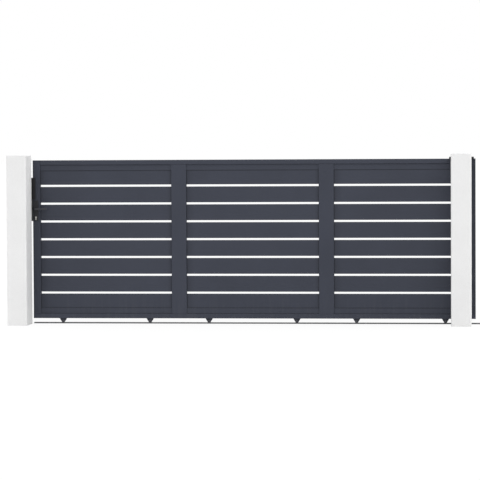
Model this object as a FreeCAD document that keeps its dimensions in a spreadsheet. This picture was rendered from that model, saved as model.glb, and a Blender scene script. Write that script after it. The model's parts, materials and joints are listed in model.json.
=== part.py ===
import FreeCAD, Part
import math
import os
import Sketcher

# Sliding driveway gate: a slatted aluminium leaf on six grooved wheels, a ground
# rail, a roller guide on the right pillar and a keep on the left pillar.
# Millimetres. +X runs to the right along the gate, +Y away from the street and +Z up.
# The origin is the middle of the right pillar's base.

os.makedirs("parts", exist_ok=True)
doc = FreeCAD.newDocument("sliding_gate")
sheet = doc.addObject("Spreadsheet::Sheet", "size")

SIZES = [
    # pillars
    ("pillar_width", 190),
    ("pillar_depth", 290),
    ("pillar_height", 1612),
    ("pillar_arris", 4),
    # leaf
    ("leaf_gap", 50),
    ("leaf_depth", 50),
    ("leaf_bottom", 50),
    ("leaf_lead", 2),
    ("leaf_past", 36),
    ("module_length", 1408),
    ("stile_width", 72),
    ("rail_height", 44),
    ("frame_wall", 2.5),
    ("frame_round", 3),
    ("strip_height", 53.5),
    ("strip_depth", 28),
    ("slat_height", 151),
    ("slat_depth", 20),
    ("slat_wall", 1.5),
    ("slat_edge", 1),
    ("slot_height", 19.5),
    ("slat_lap", 13.5),
    ("slat_fit", 0.2),
    ("cap_thick", 2),
    # ground rail
    ("foot_width", 46),
    ("foot_thick", 2.5),
    ("bead_radius", 6),
    ("bead_top", 12),
    ("rail_overrun", 127),
    ("anchor_radius", 4),
    ("anchor_across", 32),
    ("anchor_inset", 146.5),
    # wheels
    ("wheel_radius", 18),
    ("wheel_width", 20),
    ("axle_height", 27),
    ("axle_radius", 4),
    ("axle_fit", 0.05),
    ("bolt_across", 7.4),
    ("bolt_head", 5.2),
    ("bolt_nut", 6.4),
    ("bead_fit", 0.3),
    ("wheel_inset", 284),
    ("cheek_thick", 3),
    ("cheek_gap", 1),
    ("fork_top_width", 66),
    ("cheek_top_width", 60),
    ("cheek_shoulder_width", 55),
    ("cheek_shoulder", 36),
    ("shoulder_round", 20),
    ("fork_foot_width", 17),
    ("fork_foot", 13),
    ("fork_round", 6),
    ("fork_plate", 4),
    ("fork_plate_depth", 44),
    ("wheel_window", 46),
    # roller guide
    ("guide_length", 230),
    ("guide_over", 17),
    ("guide_plate", 6),
    ("guide_lip", 22),
    ("guide_back_width", 140),
    ("guide_back_height", 170),
    ("guide_corner", 12),
    ("guide_bend", 8),
    ("roller_radius", 17),
    ("roller_height", 34),
    ("roller_gap", 0.4),
    ("roller_drop", 3),
    ("roller_edge", 2),
    ("roller_spacing", 130),
    ("pin_radius", 5),
    ("pin_collar", 9),
    ("pin_head", 5),
    ("pin_play", 0.2),
    # keep
    ("keep_height", 414),
    ("keep_sheet", 4),
    ("keep_bend", 5),
    ("keep_corner", 10),
    ("keep_clear", 8),
    ("keep_reach", 27),
    ("keep_flange", 76),
    ("keep_over_lock", 12),
    ("buffer_gap", 0.5),
    ("buffer_height", 120),
    ("buffer_drop", 40),
    # lock and levers
    ("lock_backset", 30),
    ("lock_plate_height", 196),
    ("lock_plate_width", 46),
    ("lock_plate_thick", 4),
    ("lock_plate_round", 8),
    ("lock_plate_below", 116),
    ("lever_height", 1098),
    ("lever_clear", 25),
    ("key_below", 81),
    ("key_radius", 8.5),
    ("key_wing", 10),
    ("key_drop", 16),
    ("key_proud", 6),
    ("neck_radius", 9),
    ("neck_length", 44),
    ("lever_length", 122),
    ("lever_tall", 18),
    ("lever_thick", 12),
    ("lever_edge", 2),
    ("spindle", 8),
    ("spindle_hole", 7),
    # travel and its stop
    ("stop_gap", 5),
    ("stop_plate", 8),
    ("stop_bend", 5),
    ("stop_corner", 14),
    ("stop_width", 90),
    ("stop_height", 110),
    ("stop_foot", 120),
    ("stop_rubber", 25),
    ("stop_rubber_radius", 20),
    ("stop_rubber_edge", 5),
]
# sizes that follow from the ones above
DERIVED = [
    ("bay_length", "module_length - 2 * stile_width"),
    ("slat_pitch", "slat_height + slot_height"),
    ("slats_span", "7 * slat_pitch + slat_height"),
    ("leaf_length", "3 * module_length"),
    ("passage", "leaf_length + leaf_lead - pillar_width - leaf_past"),
    ("leaf_height", "2 * (rail_height + strip_height - slat_lap) + slats_span"),
    ("leaf_top", "leaf_bottom + leaf_height"),
    ("bottom_rail_top", "leaf_bottom + rail_height"),
    ("top_rail_low", "leaf_top - rail_height"),
    ("pillar_back", "pillar_depth / 2"),
    ("left_pillar_mid", "-passage - pillar_width"),
    ("left_pillar_face", "-passage - pillar_width / 2"),
    ("leaf_front", "pillar_back + leaf_gap"),
    ("leaf_mid", "leaf_front + leaf_depth / 2"),
    ("leaf_back", "leaf_front + leaf_depth"),
    ("leaf_left", "left_pillar_face + leaf_lead"),
    ("leaf_right", "leaf_left + leaf_length"),
    ("lock_at", "leaf_left + lock_backset"),
    ("keep_face", "leaf_left - keep_clear"),
    ("travel", "passage - leaf_lead - lock_backset - lever_length + neck_radius - lever_clear"),
    ("run_back_end", "leaf_right + travel + stop_gap"),
    ("fork_low", "leaf_bottom - fork_plate"),
    ("fork_depth", "wheel_width + 2 * (cheek_gap + cheek_thick)"),
    ("groove_apex", "axle_height - bead_top + bead_radius - sqrt(2) * (bead_radius + bead_fit)"),
    ("roller_low", "leaf_top - roller_drop - roller_height"),
    ("guide_top", "leaf_top + guide_over"),
    ("guide_low", "guide_top - guide_plate"),
    ("key_height", "lever_height - key_below"),
    ("lock_low", "lever_height - lock_plate_below"),
    ("lock_high", "lock_low + lock_plate_height"),
    ("keep_high", "lock_low + keep_height"),
    ("keep_notch", "lock_high + keep_over_lock"),
]
row = 0
for alias, number in SIZES:
    row += 1
    sheet.set(f"A{row}", alias)
    sheet.set(f"B{row}", str(number))
    sheet.setAlias(f"B{row}", alias)
for alias, rule in DERIVED:
    row += 1
    sheet.set(f"A{row}", alias)
    sheet.set(f"B{row}", "=" + rule)
    sheet.setAlias(f"B{row}", alias)
doc.recompute()

NAMES = {alias for alias, _ in SIZES + DERIVED}
NEAR = 0.001


def bound(rule):
    """The rule with each size name pointed at the sheet."""
    words, word = [], ""
    for letter in str(rule) + " ":
        if letter.isalnum() or letter == "_":
            word += letter
        else:
            words.append("size." + word if word in NAMES else word)
            words.append(letter)
            word = ""
    return "".join(words).strip()


def value(rule):
    return float(sheet.evalExpression(bound(rule)))


def place(item, x=0, y=0, z=0):
    for letter, rule in zip("xyz", (x, y, z)):
        item.setExpression(f"Placement.Base.{letter}", bound(rule))


def block(name, x, y, z):
    """Box between two rules along each axis."""
    item = doc.addObject("Part::Box", name)
    for side, (low, high) in zip(("Length", "Width", "Height"), (x, y, z)):
        item.setExpression(side, bound(f"({high}) - ({low})"))
    place(item, x[0], y[0], z[0])
    return item


TURNS = {
    "x": FreeCAD.Rotation(FreeCAD.Vector(0, 1, 0), 90),
    "y": FreeCAD.Rotation(FreeCAD.Vector(1, 0, 0), -90),
    "z": FreeCAD.Rotation(),
}


def rod(name, radius, length, along, x, y, z):
    """Cylinder that starts at a point and runs along +X, +Y or +Z."""
    item = doc.addObject("Part::Cylinder", name)
    item.setExpression("Radius", bound(radius))
    item.setExpression("Height", bound(length))
    item.Placement = FreeCAD.Placement(FreeCAD.Vector(), TURNS[along])
    place(item, x, y, z)
    return item


def hexagon(name, across, length, along, x, y, z):
    """Bolt head or nut that starts at a point and runs along +X, +Y or +Z."""
    item = doc.addObject("Part::Prism", name)
    item.Polygon = 6
    item.setExpression("Circumradius", bound(across))
    item.setExpression("Height", bound(length))
    item.Placement = FreeCAD.Placement(FreeCAD.Vector(), TURNS[along])
    place(item, x, y, z)
    return item


def fuse(name, pieces):
    item = doc.addObject("Part::MultiFuse", name)
    item.Shapes = pieces
    item.Refine = True
    return item


def cut(name, base, tools):
    item = doc.addObject("Part::Cut", name)
    item.Base = base
    item.Tool = tools[0] if len(tools) == 1 else group(name + "_tools", tools)
    return item


def group(name, pieces):
    item = doc.addObject("Part::Compound", name)
    item.Links = pieces
    return item


def copy_at(name, source, x):
    """Another of the same piece, moved along X."""
    item = doc.addObject("App::Link", name)
    item.LinkedObject = source
    item.LinkTransform = True
    item.setExpression("Placement.Base.x", bound(x))
    return item


def half_circle(start, end):
    """Arc that bulges outward from a loop drawn anticlockwise."""
    centre = (start + end) / 2
    angle = math.atan2(start.y - centre.y, start.x - centre.x)
    circle = Part.Circle(centre, FreeCAD.Vector(0, 0, 1), start.distanceToPoint(centre))
    return Part.ArcOfCircle(circle, angle, angle + math.pi)


def outline(sketch, points, arcs=()):
    """Closed loop whose corners are held by rules. The sides listed in arcs are half-circles."""
    corners = [FreeCAD.Vector(value(a), value(b), 0) for a, b in points]
    first = sketch.GeometryCount
    total = len(corners)

    def hold(kind, side, point, rule):
        number = sketch.addConstraint(Sketcher.Constraint(kind, -1, 1, side, point, value(rule)))
        sketch.setExpression(f"Constraints[{number}]", bound(rule))

    for i in range(total):
        ends = corners[i], corners[(i + 1) % total]
        sketch.addGeometry(half_circle(*ends) if i in arcs else Part.LineSegment(*ends))
    for i in range(total):
        sketch.addConstraint(
            Sketcher.Constraint("Coincident", first + i, 2, first + (i + 1) % total, 1)
        )
    for i, (a, b) in enumerate(points):
        hold("DistanceX", first + i, 1, a)
        hold("DistanceY", first + i, 1, b)
        if i in arcs:
            upright = abs(corners[i].x - corners[(i + 1) % total].x) < NEAR
            hold("DistanceX" if upright else "DistanceY", first + i, 3, a if upright else b)


def square(x, y):
    """Corner rules of a rectangle."""
    return [(x[0], y[0]), (x[1], y[0]), (x[1], y[1]), (x[0], y[1])]


def inside(span, wall):
    """A span less one wall at each end."""
    return f"({span[0]}) + {wall}", f"({span[1]}) - {wall}"


def blunt_square(x, y, edge):
    """Corner rules of a rectangle with its corners cut off."""
    x_in, y_in = inside(x, edge), inside(y, edge)
    return [
        (x_in[0], y[0]), (x_in[1], y[0]), (x[1], y_in[0]), (x[1], y_in[1]),
        (x_in[1], y[1]), (x_in[0], y[1]), (x[0], y_in[1]), (x[0], y_in[0]),
    ]


def body_of(name):
    item = doc.addObject("PartDesign::Body", name)
    item.AllowCompound = True
    return item


def sketch_on(body, name, plane, lift=0):
    sketch = body.newObject("Sketcher::SketchObject", name)
    planes = [f for f in body.Origin.OriginFeatures if f.Role == plane]
    sketch.AttachmentSupport = [(planes[0], "")]
    sketch.MapMode = "FlatFace"
    sketch.setExpression("AttachmentOffset.Base.z", bound(lift))
    return sketch


def pad(body, sketch, length):
    item = body.newObject("PartDesign::Pad", sketch.Name + "_pad")
    item.Profile = sketch
    item.setExpression("Length", bound(length))
    sketch.Visibility = False
    return item


def edges_where(feature, test):
    """Names of a feature's edges whose boxes pass a test."""
    doc.recompute()
    return [f"Edge{i + 1}" for i, edge in enumerate(feature.Shape.Edges) if test(edge.BoundBox)]


def edges_at(feature, **spots):
    """Names of the straight edges that lie at a place across one or two axes, by rules."""
    wanted = [(letter, value(rule)) for letter, rule in spots.items()]

    def lies_there(box):
        ends = [(getattr(box, a + "Min") - v, getattr(box, a + "Max") - v) for a, v in wanted]
        return all(abs(low) < NEAR and abs(high) < NEAR for low, high in ends)

    return edges_where(feature, lies_there)


def corner_edges(feature, along):
    """Names of the edges that run along one axis at the corners of the feature's box."""
    doc.recompute()
    whole = feature.Shape.BoundBox
    across = [letter for letter in "XYZ" if letter != along]

    def at_corner(box):
        for letter in across:
            low, high = getattr(box, letter + "Min"), getattr(box, letter + "Max")
            at_low = abs(low - getattr(whole, letter + "Min")) < NEAR
            at_high = abs(high - getattr(whole, letter + "Max")) < NEAR
            if high - low > NEAR or not (at_low or at_high):
                return False
        return True

    return edges_where(feature, at_corner)


def dress(body, kind, feature, edges, size):
    """Fillet or chamfer on some of a feature's edges."""
    item = body.newObject("PartDesign::" + kind, f"{feature.Name}_{kind.lower()}")
    item.Base = (feature, edges)
    item.setExpression("Radius" if kind == "Fillet" else "Size", bound(size))
    body.Tip = item
    return item


def repeat(body, feature, role, count, span):
    """Row of a feature along one of the body's own axes."""
    axis = [f for f in body.Origin.OriginFeatures if f.Role == role][0]
    item = body.newObject("PartDesign::LinearPattern", feature.Name + "_row")
    item.Originals = [feature]
    item.Direction = (axis, [""])
    item.setExpression("Length", bound(span))
    item.Occurrences = count
    body.Tip = item
    return item


def turned(name, plane, axis, shift, points):
    """Solid turned about an axis of its sketch, whose origin is shifted within its plane."""
    body = body_of(name)
    section = sketch_on(body, name + "_section", plane, shift[2])
    section.setExpression("AttachmentOffset.Base.x", bound(shift[0]))
    section.setExpression("AttachmentOffset.Base.y", bound(shift[1]))
    outline(section, points)
    turn = body.newObject("PartDesign::Revolution", name + "_turn")
    turn.Profile = section
    turn.ReferenceAxis = (section, [axis])
    section.Visibility = False
    body.Tip = turn
    return body


NODES = {}


def node(name, item):
    NODES[name] = item


# Pillars: rendered columns with slightly rounded arrises.
def pillar(name, middle):
    body = body_of(name + "_body")
    plan = sketch_on(body, name + "_plan", "XY_Plane")
    outline(
        plan,
        square(
            (f"{middle} - pillar_width / 2", f"{middle} + pillar_width / 2"),
            ("-pillar_depth / 2", "pillar_depth / 2"),
        ),
    )
    column = pad(body, plan, "pillar_height")
    dress(body, "Fillet", column, edges_where(column, lambda box: box.ZMax > NEAR), "pillar_arris")
    node(name, body)


pillar("left_pillar", "left_pillar_mid")
pillar("right_pillar", "0")


# Ground rail: a flat foot with a round-topped rib that the wheels straddle.
def ground_rail(name, start, end):
    body = body_of(name + "_body")
    section = sketch_on(body, name + "_section", "YZ_Plane", start)
    foot = ("leaf_mid - foot_width / 2", "leaf_mid + foot_width / 2")
    rib = ("leaf_mid - bead_radius", "leaf_mid + bead_radius")
    shoulder = "bead_top - bead_radius"
    outline(
        section,
        [
            (foot[0], "0"), (foot[1], "0"), (foot[1], "foot_thick"), (rib[1], "foot_thick"),
            (rib[1], shoulder), (rib[0], shoulder), (rib[0], "foot_thick"), (foot[0], "foot_thick"),
        ],
        arcs=[4],
    )
    pad(body, section, f"({end}) - ({start})")
    pitch = f"(({end}) - ({start}) - 2 * anchor_inset) / {ANCHOR_STATIONS - 1}"
    holes = []
    for station in range(ANCHOR_STATIONS):
        for side in (-1, 1):
            holes.append(
                rod(
                    f"{name}_hole_{len(holes)}", "anchor_radius", "3 * foot_thick", "z",
                    f"{start} + anchor_inset + {station} * {pitch}",
                    f"leaf_mid + {side} * anchor_across / 2",
                    "-foot_thick",
                )
            )
    node(name, cut(name + "_drilled", body, holes))


ANCHOR_STATIONS = 6
ground_rail("passage_rail", "leaf_left", "0")
ground_rail("run_back_rail", "0", "run_back_end + rail_overrun")


# Leaf frame: aluminium tubes. The end stiles run to the top, the others stop below the top rail.
def tube(name, along, u, v, ends, chambers=1):
    """Extrusion with rounded corners. Its chambers lie side by side in the first direction."""
    body = body_of(name + "_body")
    plane = {"X": "YZ_Plane", "Z": "XY_Plane"}[along]
    section = sketch_on(body, name + "_section", plane, ends[0])
    outline(section, square(u, v))
    width = f"(({u[1]}) - ({u[0]})) / {chambers}"
    for number in range(chambers):
        chamber = (f"{u[0]} + {number} * {width}", f"{u[0]} + {number + 1} * {width}")
        outline(section, square(inside(chamber, "frame_wall"), inside(v, "frame_wall")))
    bar = pad(body, section, f"({ends[1]}) - ({ends[0]})")
    dress(body, "Fillet", bar, corner_edges(bar, along), "frame_round")
    return body


LEAF_Y = ("leaf_front", "leaf_back")
node(
    "bottom_rail",
    tube("bottom_rail", "X", LEAF_Y, ("leaf_bottom", "bottom_rail_top"),
         ("leaf_left + cap_thick", "leaf_right - cap_thick")),
)
node(
    "top_rail",
    tube("top_rail", "X", LEAF_Y, ("top_rail_low", "leaf_top"),
         ("leaf_left + stile_width", "leaf_right - stile_width")),
)


def joint_stile(name, number):
    """Middle stile: two chambers side by side, where two leaf modules meet."""
    left = f"leaf_left + {number} * module_length - stile_width"
    width = (left, f"{left} + 2 * stile_width")
    node(name, tube(name, "Z", width, LEAF_Y, ("bottom_rail_top", "top_rail_low"), chambers=2))


joint_stile("middle_stile_1", 1)
joint_stile("middle_stile_2", 2)

# The left stile carries the lock, so it is drilled for the spindle and the key cylinder.
END_Z = ("bottom_rail_top", "leaf_top - cap_thick")
left_tube = tube("left_stile", "Z", ("leaf_left", "leaf_left + stile_width"), LEAF_Y, END_Z)


def key_shape(name, front, back):
    barrel = rod(name + "_barrel", "key_radius", f"({back}) - ({front})", "y",
                 "lock_at", front, "key_height")
    wing = block(
        name + "_wing",
        ("lock_at - key_wing / 2", "lock_at + key_wing / 2"),
        (front, back),
        ("key_height - key_drop - key_radius", "key_height"),
    )
    return fuse(name + "_shape", [barrel, wing])


spindle_way = rod("spindle_way", "spindle_hole", "2 * leaf_depth", "y",
                  "lock_at", "leaf_front - leaf_depth / 2", "lever_height")
key_way = key_shape("key_way", "leaf_front - leaf_depth / 2", "leaf_back + leaf_depth / 2")
node("left_stile", cut("left_stile_bored", left_tube, [spindle_way, key_way]))
node(
    "right_stile",
    tube("right_stile", "Z", ("leaf_right - stile_width", "leaf_right"), LEAF_Y, END_Z),
)


def cap(name, along, u, v, start):
    """Plate that closes a tube's end, with the tube's own rounded corners."""
    body = body_of(name)
    section = sketch_on(body, name + "_section", {"X": "YZ_Plane", "Z": "XY_Plane"}[along], start)
    outline(section, square(u, v))
    plate = pad(body, section, "cap_thick")
    dress(body, "Fillet", plate, corner_edges(plate, along), "frame_round")
    return body


RAIL_Z = ("leaf_bottom", "bottom_rail_top")
STILE_TOP = "leaf_top - cap_thick"
caps = [
    cap("left_stile_cap", "Z", ("leaf_left", "leaf_left + stile_width"), LEAF_Y, STILE_TOP),
    cap("right_stile_cap", "Z", ("leaf_right - stile_width", "leaf_right"), LEAF_Y, STILE_TOP),
    cap("left_rail_cap", "X", LEAF_Y, RAIL_Z, "leaf_left"),
    cap("right_rail_cap", "X", LEAF_Y, RAIL_Z, "leaf_right - cap_thick"),
]
node("end_caps", group("end_caps_set", caps))


# Strips: each holds the edge of a slat in a groove along the top or bottom of its bay.
def strips(name, low, grooved_up):
    body = body_of(name + "_body")
    section = sketch_on(body, name + "_section", "YZ_Plane", "leaf_left + stile_width")
    front, back = "leaf_mid - strip_depth / 2", "leaf_mid + strip_depth / 2"
    lip_front = "leaf_mid - slat_depth / 2 - slat_fit"
    lip_back = "leaf_mid + slat_depth / 2 + slat_fit"
    flat, edge, floor = low, f"{low} + strip_height", f"{low} + strip_height - slat_lap - slat_fit"
    hollow = (f"{low} + slat_wall", f"{low} + strip_height - slat_lap - slat_fit - slat_wall")
    if not grooved_up:
        flat, edge, floor = edge, flat, f"{low} + slat_lap + slat_fit"
        hollow = (f"{low} + slat_lap + slat_fit + slat_wall", f"{low} + strip_height - slat_wall")
    outline(
        section,
        [
            (front, flat), (back, flat), (back, edge), (lip_back, edge),
            (lip_back, floor), (lip_front, floor), (lip_front, edge), (front, edge),
        ],
    )
    outline(section, square(inside((front, back), "slat_wall"), hollow))
    bar = pad(body, section, "bay_length")
    repeat(body, bar, "X_Axis", 3, "2 * module_length")
    node(name, body)


strips("lower_strips", "bottom_rail_top", True)
strips("upper_strips", "top_rail_low - strip_height", False)


# Slats: hollow planks, evenly pitched. The first and last are lapped into the strips.
def slats(name, number):
    body = body_of(name + "_body")
    start = f"leaf_left + stile_width + {number} * module_length"
    section = sketch_on(body, name + "_section", "YZ_Plane", start)
    low = "bottom_rail_top + strip_height - slat_lap"
    across = ("leaf_mid - slat_depth / 2", "leaf_mid + slat_depth / 2")
    up = (low, f"{low} + slat_height")
    outline(section, blunt_square(across, up, "slat_edge"))
    outline(section, square(inside(across, "slat_wall"), inside(up, "slat_wall")))
    plank = pad(body, section, "bay_length")
    repeat(body, plank, "Z_Axis", 8, "7 * slat_pitch")
    node(name, body)


for bay in range(3):
    slats(f"slats_{bay + 1}", bay)


# Wheel units: a fork under the bottom rail with shield-shaped cheeks, an axle bolt and a
# grooved wheel.
fork_body = body_of("fork_master")
front_view = sketch_on(fork_body, "fork_front", "XZ_Plane", "-leaf_mid - fork_depth / 2")
CHEEK = [
    ("cheek_top_width / 2", "leaf_bottom"), ("cheek_shoulder_width / 2", "cheek_shoulder"),
    ("fork_foot_width / 2", "fork_foot"),
]
outline(front_view, [(f"-({x})", z) for x, z in CHEEK] + CHEEK[::-1])
cheeks_pad = pad(fork_body, front_view, "fork_depth")
shoulders, feet = [], []
for side in (-1, 1):
    shoulders += edges_at(cheeks_pad, X=f"{side} * cheek_shoulder_width / 2", Z="cheek_shoulder")
shouldered = dress(fork_body, "Fillet", cheeks_pad, shoulders, "shoulder_round")
for side in (-1, 1):
    feet += edges_at(shouldered, X=f"{side} * fork_foot_width / 2", Z="fork_foot")
dress(fork_body, "Fillet", shouldered, feet, "fork_round")
half_top = "fork_top_width / 2"
inner_half = "(wheel_width / 2 + cheek_gap)"
fork_inner = block(
    "fork_inner", ("-fork_top_width", "fork_top_width"),
    (f"leaf_mid - {inner_half}", f"leaf_mid + {inner_half}"), ("0", "leaf_bottom"),
)
fork_plate = block(
    "fork_plate_block", (f"-({half_top})", half_top),
    ("leaf_mid - fork_plate_depth / 2", "leaf_mid + fork_plate_depth / 2"),
    ("fork_low", "leaf_bottom"),
)
fork_window = block(
    "fork_window", ("-wheel_window / 2", "wheel_window / 2"),
    (f"leaf_mid - {inner_half}", f"leaf_mid + {inner_half}"), ("0", "2 * leaf_bottom"),
)
fork_bore = rod("fork_bore", "axle_radius + axle_fit", "2 * fork_depth", "y",
                "0", "leaf_mid - fork_depth", "axle_height")
cheeks = cut("fork_cheeks", fork_body, [fork_inner])
fork = cut("fork", fuse("fork_joined", [cheeks, fork_plate]), [fork_window, fork_bore])

axle = fuse(
    "axle",
    [
        rod("axle_shank", "axle_radius", "fork_depth", "y",
            "0", "leaf_mid - fork_depth / 2", "axle_height"),
        hexagon("axle_head", "bolt_across", "bolt_head", "y",
                "0", "leaf_mid - fork_depth / 2 - bolt_head", "axle_height"),
        hexagon("axle_nut", "bolt_across", "bolt_nut", "y",
                "0", "leaf_mid + fork_depth / 2", "axle_height"),
    ],
)
# The wheel is turned about its axle. The groove's flanks slope at 45 degrees to meet the bead.
flank, hub, mouth = "wheel_width / 2", "axle_radius + axle_fit", "(wheel_radius - groove_apex)"
wheel_body = turned(
    "wheel_master", "YZ_Plane", "H_Axis", ("leaf_mid", "axle_height", "0"),
    [
        (f"-{flank}", hub), (flank, hub), (flank, "wheel_radius"), (mouth, "wheel_radius"),
        ("0", "groove_apex"), (f"-{mouth}", "wheel_radius"), (f"-{flank}", "wheel_radius"),
    ],
)

forks, axles = [], []
for number in range(6):
    inset = "wheel_inset" if number % 2 == 0 else "module_length - wheel_inset"
    spot = f"leaf_left + {number // 2} * module_length + {inset}"
    forks.append(copy_at(f"fork_{number + 1}", fork, spot))
    axles.append(copy_at(f"axle_{number + 1}", axle, spot))
    node(f"wheel_{number + 1}",
         group(f"wheel_{number + 1}_set", [copy_at(f"wheel_at_{number + 1}", wheel_body, spot)]))
node("wheel_forks", group("wheel_forks_set", forks))
node("wheel_axles", group("wheel_axles_set", axles))

# Roller guide: a folded channel over the leaf's top rail, on a plate behind the right pillar.
guide_far = "(2 * leaf_mid - pillar_back)"
near_lip = ("pillar_back", "pillar_back + guide_plate")
far_lip = (f"{guide_far} - guide_plate", guide_far)
lip_low = "guide_top - guide_lip"
guide_body = body_of("guide_channel")
channel = sketch_on(guide_body, "guide_section", "YZ_Plane", "-guide_length / 2")
outline(
    channel,
    [
        (near_lip[0], lip_low), (near_lip[1], lip_low), (near_lip[1], "guide_low"),
        (far_lip[0], "guide_low"), (far_lip[0], lip_low), (far_lip[1], lip_low),
        (far_lip[1], "guide_top"), (near_lip[0], "guide_top"),
    ],
)
channel_pad = pad(guide_body, channel, "guide_length")
dress(guide_body, "Fillet", channel_pad, edges_at(channel_pad, Y=guide_far, Z="guide_top"), "guide_bend")
guide_back = body_of("guide_back")
back_view = sketch_on(guide_back, "guide_back_view", "XZ_Plane", f"-({near_lip[1]})")
outline(back_view, square(("-guide_back_width / 2", "guide_back_width / 2"),
                          ("guide_top - guide_back_height", "guide_low")))
back_pad = pad(guide_back, back_view, "guide_plate")
low_corners = []
for side in (-1, 1):
    low_corners += edges_at(
        back_pad, X=f"{side} * guide_back_width / 2", Z="guide_top - guide_back_height"
    )
dress(guide_back, "Fillet", back_pad, low_corners, "guide_corner")
bracket = fuse("guide_bracket_solid", [guide_body, guide_back])
pin_holes, rollers, pins = [], [], []
for across in (-1, 1):
    line = "leaf_front - roller_gap - roller_radius"
    if across > 0:
        line = "leaf_back + roller_gap + roller_radius"
    bore = "pin_radius + axle_fit"
    roller = turned(
        f"roller_row_{len(rollers)}", "YZ_Plane", "V_Axis", (line, "roller_low", "0"),
        [
            (bore, "0"), ("roller_radius - roller_edge", "0"), ("roller_radius", "roller_edge"),
            ("roller_radius", "roller_height - roller_edge"),
            ("roller_radius - roller_edge", "roller_height"), (bore, "roller_height"),
        ],
    )
    for along in (-1, 1):
        tag = f"{len(rollers) + 1}"
        at = f"{along} * roller_spacing / 2"
        pin_holes.append(rod("pin_hole_" + tag, "pin_radius", "4 * guide_plate", "z",
                             at, line, "guide_low - guide_plate"))
        rollers.append(copy_at("roller_" + tag, roller, at))
        pins.append(
            fuse(
                "pin_" + tag,
                [
                    rod("pin_shank_" + tag, "pin_radius",
                        "guide_top + pin_head - roller_low + pin_play", "z",
                        at, line, "roller_low - pin_play"),
                    hexagon("pin_head_" + tag, "pin_collar", "pin_head", "z",
                            at, line, "roller_low - pin_play - pin_head"),
                    rod("pin_spacer_" + tag, "pin_collar",
                        "guide_low - roller_low - roller_height - pin_play", "z",
                        at, line, "roller_low + roller_height + pin_play"),
                    hexagon("pin_nut_" + tag, "pin_collar", "pin_head", "z",
                            at, line, "guide_top"),
                ],
            )
        )
node("guide_bracket", cut("guide_bracket_drilled", bracket, pin_holes))
node("guide_rollers", group("guide_rollers_set", rollers))
node("guide_pins", group("guide_pins_set", pins))

# Keep: a folded sheet on the back of the left pillar that the leaf's edge closes into. Its two
# cheeks are cut away beside the lock.
mouth_x = "leaf_left + keep_reach"
cheek_front = "leaf_front - keep_clear"
cheek_back = "leaf_back + keep_clear"
keep_outer = f"{cheek_back} + keep_sheet"
keep_body = body_of("keep_fold")
keep_plan = sketch_on(keep_body, "keep_plan", "XY_Plane", "lock_low")
outline(
    keep_plan,
    [
        ("keep_face - keep_flange", "pillar_back"), ("keep_face", "pillar_back"),
        ("keep_face", f"{cheek_front} - keep_sheet"), (mouth_x, f"{cheek_front} - keep_sheet"),
        (mouth_x, cheek_front), ("keep_face", cheek_front),
        ("keep_face", cheek_back), (mouth_x, cheek_back),
        (mouth_x, keep_outer), ("keep_face - keep_sheet", keep_outer),
        ("keep_face - keep_sheet", "pillar_back + keep_sheet"),
        ("keep_face - keep_flange", "pillar_back + keep_sheet"),
    ],
)
keep_pad = pad(keep_body, keep_plan, "keep_height")
bends = edges_at(keep_pad, X="keep_face", Y="pillar_back")
bends += edges_at(keep_pad, X="keep_face - keep_sheet", Y=keep_outer)
bent = dress(keep_body, "Fillet", keep_pad, bends, "keep_bend")
tips = edges_at(bent, X=mouth_x, Z="keep_high")
for level in ("lock_low", "keep_high"):
    tips += edges_at(bent, X="keep_face - keep_flange", Z=level)
dress(keep_body, "Fillet", bent, tips, "keep_corner")
lock_room = block(
    "lock_room", ("keep_face", f"{mouth_x} + keep_sheet"),
    ("pillar_back", f"{keep_outer} + keep_sheet"), ("lock_low - keep_sheet", "keep_notch"),
)
node("keep", cut("keep_notched", keep_body, [lock_room]))
node(
    "keep_buffer",
    block(
        "keep_buffer_block",
        ("keep_face", "leaf_left - buffer_gap"),
        ("leaf_front + leaf_depth / 4", "leaf_back - leaf_depth / 4"),
        ("keep_high - buffer_drop - buffer_height", "keep_high - buffer_drop"),
    ),
)

# Lock: plates on both faces of the left stile, a key cylinder and a lever on each side.
def lock_plate(name, front, back):
    body = body_of(name + "_body")
    view = sketch_on(body, name + "_view", "XZ_Plane", f"-({back})")
    width = ("lock_at - lock_plate_width / 2", "lock_at + lock_plate_width / 2")
    outline(view, square(width, ("lock_low", "lock_high")))
    plate = pad(body, view, "lock_plate_thick")
    dress(body, "Fillet", plate, corner_edges(plate, "Y"), "lock_plate_round")
    ways = (f"{front} - lock_plate_thick", f"{back} + lock_plate_thick")
    neck_way = rod(name + "_neck_way", "neck_radius + axle_fit", "3 * lock_plate_thick", "y",
                   "lock_at", ways[0], "lever_height")
    return cut(name, body, [neck_way, key_shape(name + "_key_way", *ways)])


plates = [
    lock_plate("lock_plate_front", "leaf_front - lock_plate_thick", "leaf_front"),
    lock_plate("lock_plate_back", "leaf_back", "leaf_back + lock_plate_thick"),
]
node("lock_plates", group("lock_plates_set", plates))
node("key_cylinder", key_shape("key_cylinder", "leaf_front - lock_plate_thick - key_proud",
                               "leaf_back + lock_plate_thick + key_proud"))


def lever(name, root, away):
    """Neck out of the lock plate and a round-ended bar that points along +X."""
    tip = f"{root} + {away} * neck_length"
    neck = rod(name + "_neck", "neck_radius", "neck_length", "y",
               "lock_at", root if away > 0 else tip, "lever_height")
    body = body_of(name + "_bar")
    bar_back = tip if away > 0 else f"{tip} + lever_thick"
    view = sketch_on(body, name + "_view", "XZ_Plane", f"-({bar_back})")
    ends = ("lock_at", "lock_at + lever_length - lever_tall")
    tall = ("lever_height - lever_tall / 2", "lever_height + lever_tall / 2")
    outline(view, square(ends, tall), arcs=[1, 3])
    bar = pad(body, view, "lever_thick")
    face = value(tip)
    rim = edges_where(bar, lambda box: max(abs(box.YMin - face), abs(box.YMax - face)) < NEAR)
    dress(body, "Chamfer", bar, rim, "lever_edge")
    return fuse(name + "_solid", [neck, body])


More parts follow.
